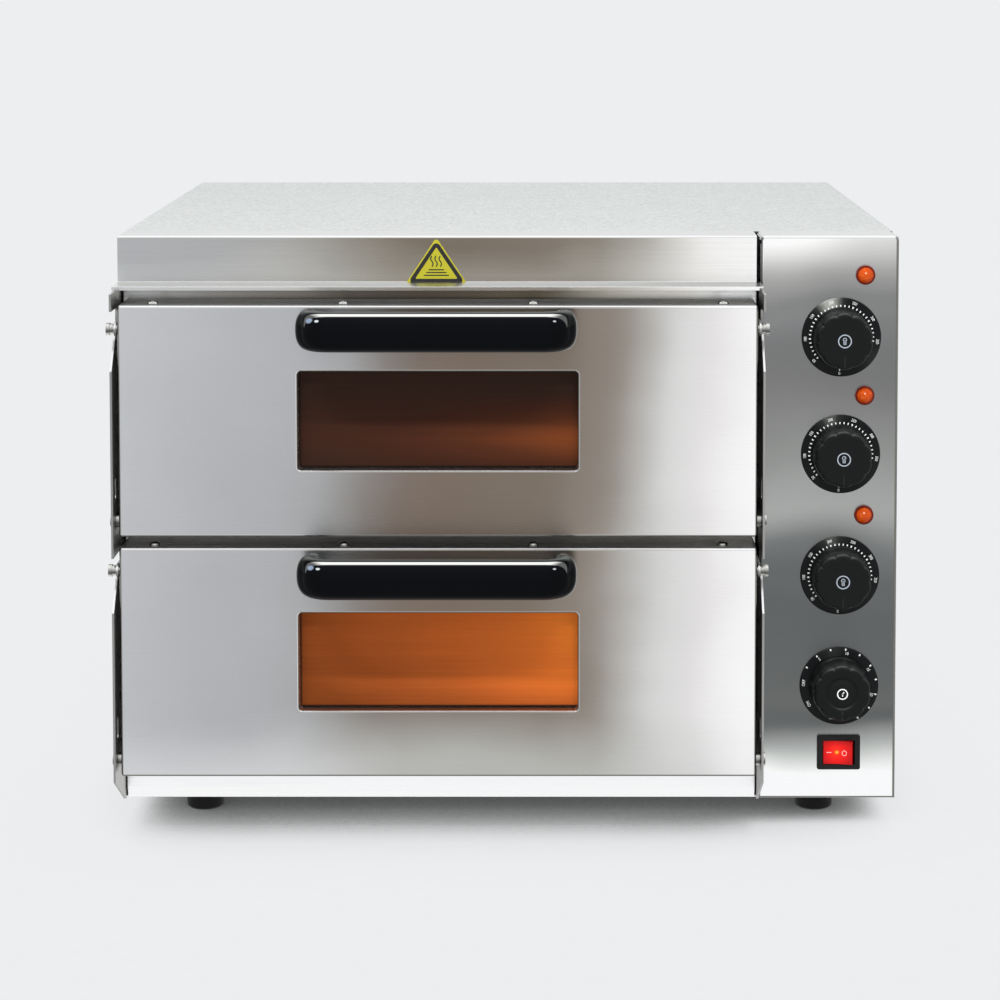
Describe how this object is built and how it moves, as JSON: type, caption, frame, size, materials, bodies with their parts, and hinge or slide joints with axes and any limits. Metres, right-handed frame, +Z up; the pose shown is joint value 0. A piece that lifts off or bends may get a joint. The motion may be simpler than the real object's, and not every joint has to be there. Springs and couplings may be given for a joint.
{
  "type": "countertop pizza oven",
  "caption": "Twin-deck electric countertop pizza oven: drop-down glazed doors with bow handles on stay arms, stone-floored chambers, and a side column of dials, lamps and a rocker switch.",
  "frame": {"origin": "on the counter under the middle of the whole envelope, handles and cord included", "axes": "+Z up, -Y towards the user (the side with the doors), +X to the user's right"},
  "size_m": [0.5648, 0.6, 0.43],
  "materials": {
    "amber": "amber lens",
    "black": "gloss black bakelite",
    "block": "nylon",
    "bright": "bright brushed stainless",
    "ceramic": "white ceramic",
    "copper": "copper tube",
    "darkred": "dark red",
    "element": "heat-tinted incoloy tube",
    "galv": "galvanised sheet with fine spangle",
    "glass": "ceramic glass",
    "liner": "aluminised steel",
    "matte": "matt black",
    "red": "red translucent",
    "rubber": "black rubber",
    "steel": "brushed stainless",
    "stone": "cordierite",
    "wool": "white ceramic fibre",
    "zinc": "zinc plated"
  },
  "bodies": {
    "oven_body": {"baking_stones": "stone", "base_tray": "steel", "bottom_elements": "element", "capillaries": "copper", "casing_screws": "zinc", "control_panel": "bright", "control_partition": "galv", "cord_gland": "matte", "dial_plates": "matte", "element_terminals": "ceramic", "feet": "rubber", "foot_bolts": "zinc", "front_frame": "steel", "hood": "bright", "insulation": "wool", "lamp_bodies": "darkred", "lamp_lenses": "amber", "left_side_panel": "galv", "lower_chamber": "liner", "lower_hinge_plates": "steel", "mains_plug": "rubber", "power_cord": "rubber", "rear_panel": "galv", "right_side_panel": "galv", "rocker_housing": "matte", "stone_rails": "liner", "terminal_block": "block", "thermostats": "liner", "timer_body": "matte", "top_elements": "element", "top_panel": "galv", "upper_chamber": "liner", "upper_hinge_plates": "steel"},
    "upper_door": {"upper_door_skin": "steel", "upper_door_inner_pan": "liner", "upper_door_insulation": "wool", "upper_window_glass": "glass", "upper_glass_retainer": "liner", "upper_handle": "black", "upper_door_screws": "zinc", "upper_door_pivots": "zinc", "upper_arm_bolts": "zinc"},
    "upper_left_arm": {"upper_left_stay_arm": "steel"},
    "upper_right_arm": {"upper_right_stay_arm": "steel"},
    "lower_door": {"lower_door_skin": "steel", "lower_door_inner_pan": "liner", "lower_door_insulation": "wool", "lower_window_glass": "glass", "lower_glass_retainer": "liner", "lower_handle": "black", "lower_door_screws": "zinc", "lower_door_pivots": "zinc", "lower_arm_bolts": "zinc"},
    "lower_left_arm": {"lower_left_stay_arm": "steel"},
    "lower_right_arm": {"lower_right_stay_arm": "steel"},
    "upper_control": {"upper_knob": "black"},
    "middle_control": {"middle_knob": "black"},
    "lower_control": {"lower_knob": "black"},
    "timer_control": {"timer_knob": "black"},
    "rocker_body": {"rocker": "red"}
  },
  "joints": [
    {"name": "upper_door_hinge", "type": "hinge", "parent": "oven_body", "child": "upper_door", "pos_m": [-0.049, -0.239, 0.2305], "axis": [1, 0, 0], "range_deg": [0, 86]},
    {"name": "upper_left_arm_pivot", "type": "hinge", "parent": "upper_door", "child": "upper_left_arm", "pos_m": [-0.2756, -0.245, 0.368], "axis": [1, 0, 0], "range_deg": [-47.6, 0.2]},
    {"name": "upper_right_arm_pivot", "type": "hinge", "parent": "upper_door", "child": "upper_right_arm", "pos_m": [0.1776, -0.245, 0.368], "axis": [1, 0, 0], "range_deg": [-47.6, 0.2]},
    {"name": "lower_door_hinge", "type": "hinge", "parent": "oven_body", "child": "lower_door", "pos_m": [-0.049, -0.239, 0.0587], "axis": [1, 0, 0], "range_deg": [0, 86]},
    {"name": "lower_left_arm_pivot", "type": "hinge", "parent": "lower_door", "child": "lower_left_arm", "pos_m": [-0.2756, -0.245, 0.1962], "axis": [1, 0, 0], "range_deg": [-47.6, 0.2]},
    {"name": "lower_right_arm_pivot", "type": "hinge", "parent": "lower_door", "child": "lower_right_arm", "pos_m": [0.1776, -0.245, 0.1962], "axis": [1, 0, 0], "range_deg": [-47.6, 0.2]},
    {"name": "upper_knob_turn", "type": "hinge", "parent": "oven_body", "child": "upper_control", "pos_m": [0.239, -0.22, 0.357], "axis": [0, 1, 0], "range_deg": [0, 274]},
    {"name": "middle_knob_turn", "type": "hinge", "parent": "oven_body", "child": "middle_control", "pos_m": [0.239, -0.22, 0.2723], "axis": [0, 1, 0], "range_deg": [0, 274]},
    {"name": "lower_knob_turn", "type": "hinge", "parent": "oven_body", "child": "lower_control", "pos_m": [0.239, -0.22, 0.1839], "axis": [0, 1, 0], "range_deg": [0, 274]},
    {"name": "timer_knob_turn", "type": "hinge", "parent": "oven_body", "child": "timer_control", "pos_m": [0.239, -0.22, 0.1031], "axis": [0, 1, 0], "range_deg": [-265, 59]},
    {"name": "rocker_tilt", "type": "hinge", "parent": "oven_body", "child": "rocker_body", "pos_m": [0.239, -0.2055, 0.0543], "axis": [0, 0, 1], "range_deg": [0, 14]}
  ],
  "couplings": [
    {"joint": "upper_left_arm_pivot", "follows": "upper_door_hinge", "ratio": -0.549},
    {"joint": "upper_right_arm_pivot", "follows": "upper_door_hinge", "ratio": -0.549},
    {"joint": "lower_left_arm_pivot", "follows": "lower_door_hinge", "ratio": -0.549},
    {"joint": "lower_right_arm_pivot", "follows": "lower_door_hinge", "ratio": -0.549}
  ]
}
